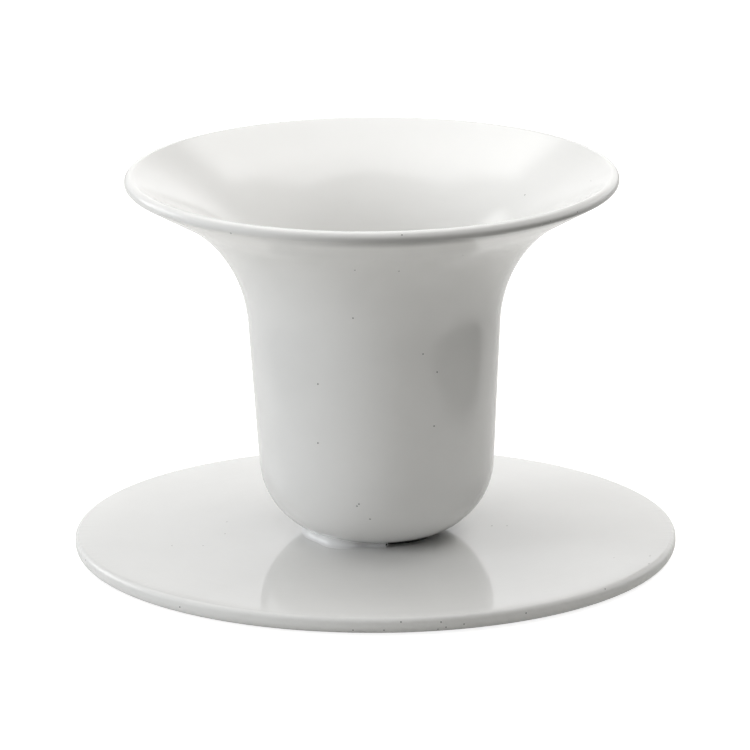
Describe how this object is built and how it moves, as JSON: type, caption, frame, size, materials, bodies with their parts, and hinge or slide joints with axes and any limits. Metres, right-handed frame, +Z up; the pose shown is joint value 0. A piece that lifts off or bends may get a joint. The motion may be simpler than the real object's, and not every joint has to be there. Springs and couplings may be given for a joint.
{
  "type": "candlestick",
  "caption": "Candlestick with a hollow bell-shaped cup for a pillar candle, flared at the rim, on a thin flat round base, in glossy white lacquer over cast metal.",
  "frame": {"origin": "on the axis of the cup and base, where the felt pad's underside meets the table", "axes": "+Z up along the axis, out of the cup's mouth; the object is round, so +X and +Y are free, and -Y faces the camera"},
  "size_m": [0.12, 0.12, 0.0778],
  "materials": {
    "white_lacquer": "glossy white lacquer over a sand casting, with pinholes",
    "zinc_steel": "zinc-plated steel",
    "grey_felt": "pressed wool felt"
  },
  "bodies": {
    "root": {"bell_cup": "white_lacquer", "base_disc": "white_lacquer", "base_screw": "zinc_steel", "felt_pad": "grey_felt"}
  },
  "joints": []
}
